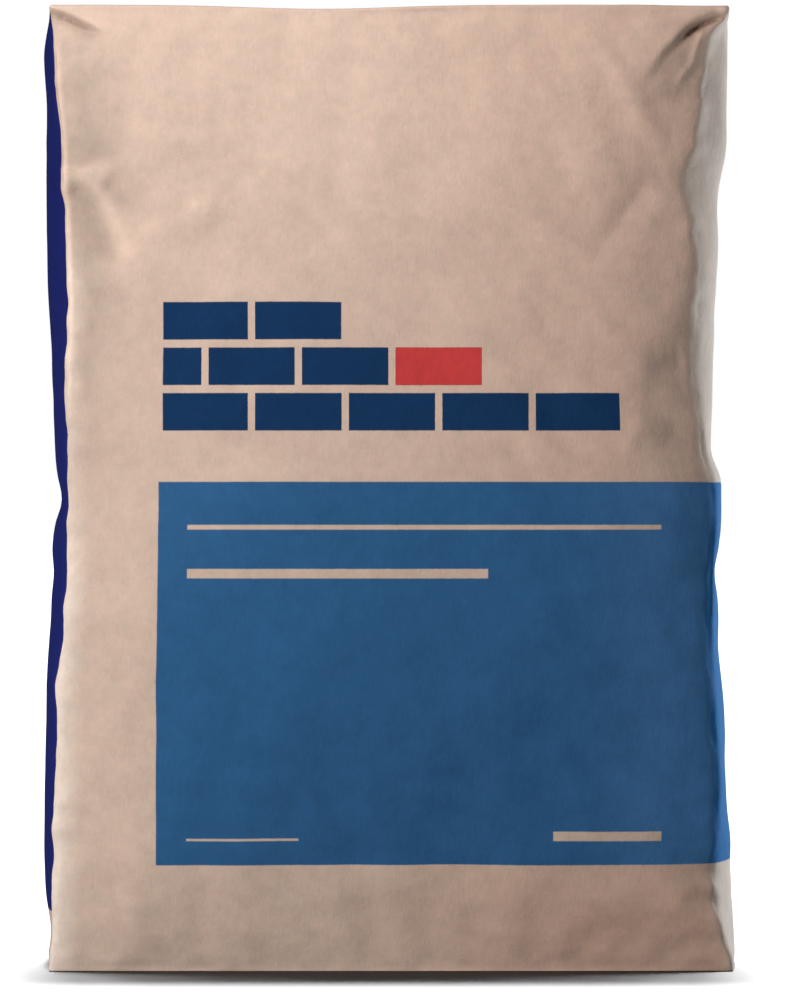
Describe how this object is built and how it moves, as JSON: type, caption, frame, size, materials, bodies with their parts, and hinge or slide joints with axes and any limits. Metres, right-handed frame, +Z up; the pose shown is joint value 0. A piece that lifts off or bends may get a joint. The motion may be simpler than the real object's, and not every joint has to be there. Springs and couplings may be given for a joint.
{
  "type": "cement bag",
  "caption": "Filled kraft-paper cement sack with side gussets, folded block ends, pasted end patches and a flat valve sleeve, standing upright on its lower block end.",
  "frame": {"origin": "middle of the underside, at floor height", "axes": "+Z up along the sack, -Y out of the printed front face, +X to the right as the front is seen"},
  "size_m": [0.45, 0.146, 0.62],
  "materials": {
    "kraft_paper": "matt brown sack kraft, printed on the outer ply",
    "patch_kraft": "matt brown kraft",
    "sleeve_kraft": "smooth light kraft",
    "cement": "fine dry powder"
  },
  "bodies": {
    "root": {"paper_sack": "kraft_paper", "cement_fill": "cement", "top_patch": "patch_kraft", "bottom_patch": "patch_kraft", "valve_sleeve": "sleeve_kraft"}
  },
  "joints": []
}
